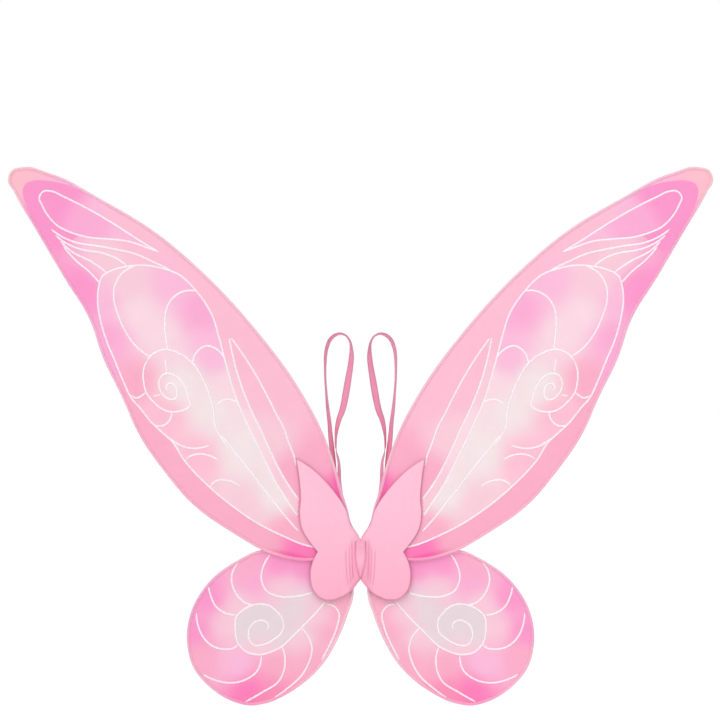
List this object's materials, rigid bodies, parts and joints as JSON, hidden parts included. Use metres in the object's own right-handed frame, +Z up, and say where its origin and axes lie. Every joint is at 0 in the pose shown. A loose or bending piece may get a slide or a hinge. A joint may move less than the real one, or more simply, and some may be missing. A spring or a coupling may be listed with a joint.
{
  "type": "fairy wings",
  "caption": "Costume fairy wings: sheer pink panels on wire loops with glitter vein lines, a butterfly-shaped centre cover and elastic shoulder loops; the sides fold about the middle.",
  "frame": {"origin": "on the flat patch that lies against the wearer's back, midway between the two sides and level with the wings' roots", "axes": "+X to the wearer's right, along the span; +Y towards the wearer, square to that patch; +Z up"},
  "size_m": [0.9372, 0.1286, 0.7196],
  "materials": {
    "wire": "drawn spring-steel wire",
    "crimp": "crimped sleeve",
    "edge_fabric": "sewn sheer casing, satin sheen",
    "sheer_fabric": "fine sheer nylon, printed in pinks fading to cream, raised glitter lines",
    "cover_fabric": "brushed felt",
    "gather_elastic": "narrow woven elastic",
    "strap_elastic": "braided elastic with a raised centre and flat borders",
    "thread": "wound polyester thread",
    "wadding": "polyester wadding"
  },
  "bodies": {
    "spine": {"neck_core": "wadding", "neck_gather_band": "gather_elastic", "neck_cover_front": "cover_fabric", "neck_wrap": "cover_fabric", "neck_cover_back": "cover_fabric", "left_strap_anchor": "strap_elastic", "left_strap_tack": "thread", "right_strap_anchor": "strap_elastic", "right_strap_tack": "thread"},
    "left_half": {"left_upper_wire": "wire", "left_upper_ferrule": "crimp", "left_upper_hem": "edge_fabric", "left_upper_panel": "sheer_fabric", "left_lower_wire": "wire", "left_lower_ferrule": "crimp", "left_lower_hem": "edge_fabric", "left_lower_panel": "sheer_fabric", "left_wire_binding": "thread", "left_cover_front": "cover_fabric", "left_cover_back": "cover_fabric"},
    "right_half": {"right_upper_wire": "wire", "right_upper_ferrule": "crimp", "right_upper_hem": "edge_fabric", "right_upper_panel": "sheer_fabric", "right_lower_wire": "wire", "right_lower_ferrule": "crimp", "right_lower_hem": "edge_fabric", "right_lower_panel": "sheer_fabric", "right_wire_binding": "thread", "right_cover_front": "cover_fabric", "right_cover_back": "cover_fabric"},
    "left_strap": {"left_strap": "strap_elastic"},
    "right_strap": {"right_strap": "strap_elastic"}
  },
  "joints": [
    {"name": "left_fold", "type": "hinge", "parent": "spine", "child": "left_half", "pos_m": [-0.012, -0.014, 0], "axis": [0, 0, 1], "range_deg": [-6, 80]},
    {"name": "right_fold", "type": "hinge", "parent": "spine", "child": "right_half", "pos_m": [0.012, -0.014, 0], "axis": [0, 0, -1], "range_deg": [-6, 80]},
    {"name": "left_strap_swing", "type": "hinge", "parent": "spine", "child": "left_strap", "pos_m": [-0.00515, 0.001, 0.024], "axis": [-1, 0, 0], "range_deg": [0, 140]},
    {"name": "right_strap_swing", "type": "hinge", "parent": "spine", "child": "right_strap", "pos_m": [0.00515, 0.001, 0.024], "axis": [-1, 0, 0], "range_deg": [0, 140]}
  ]
}
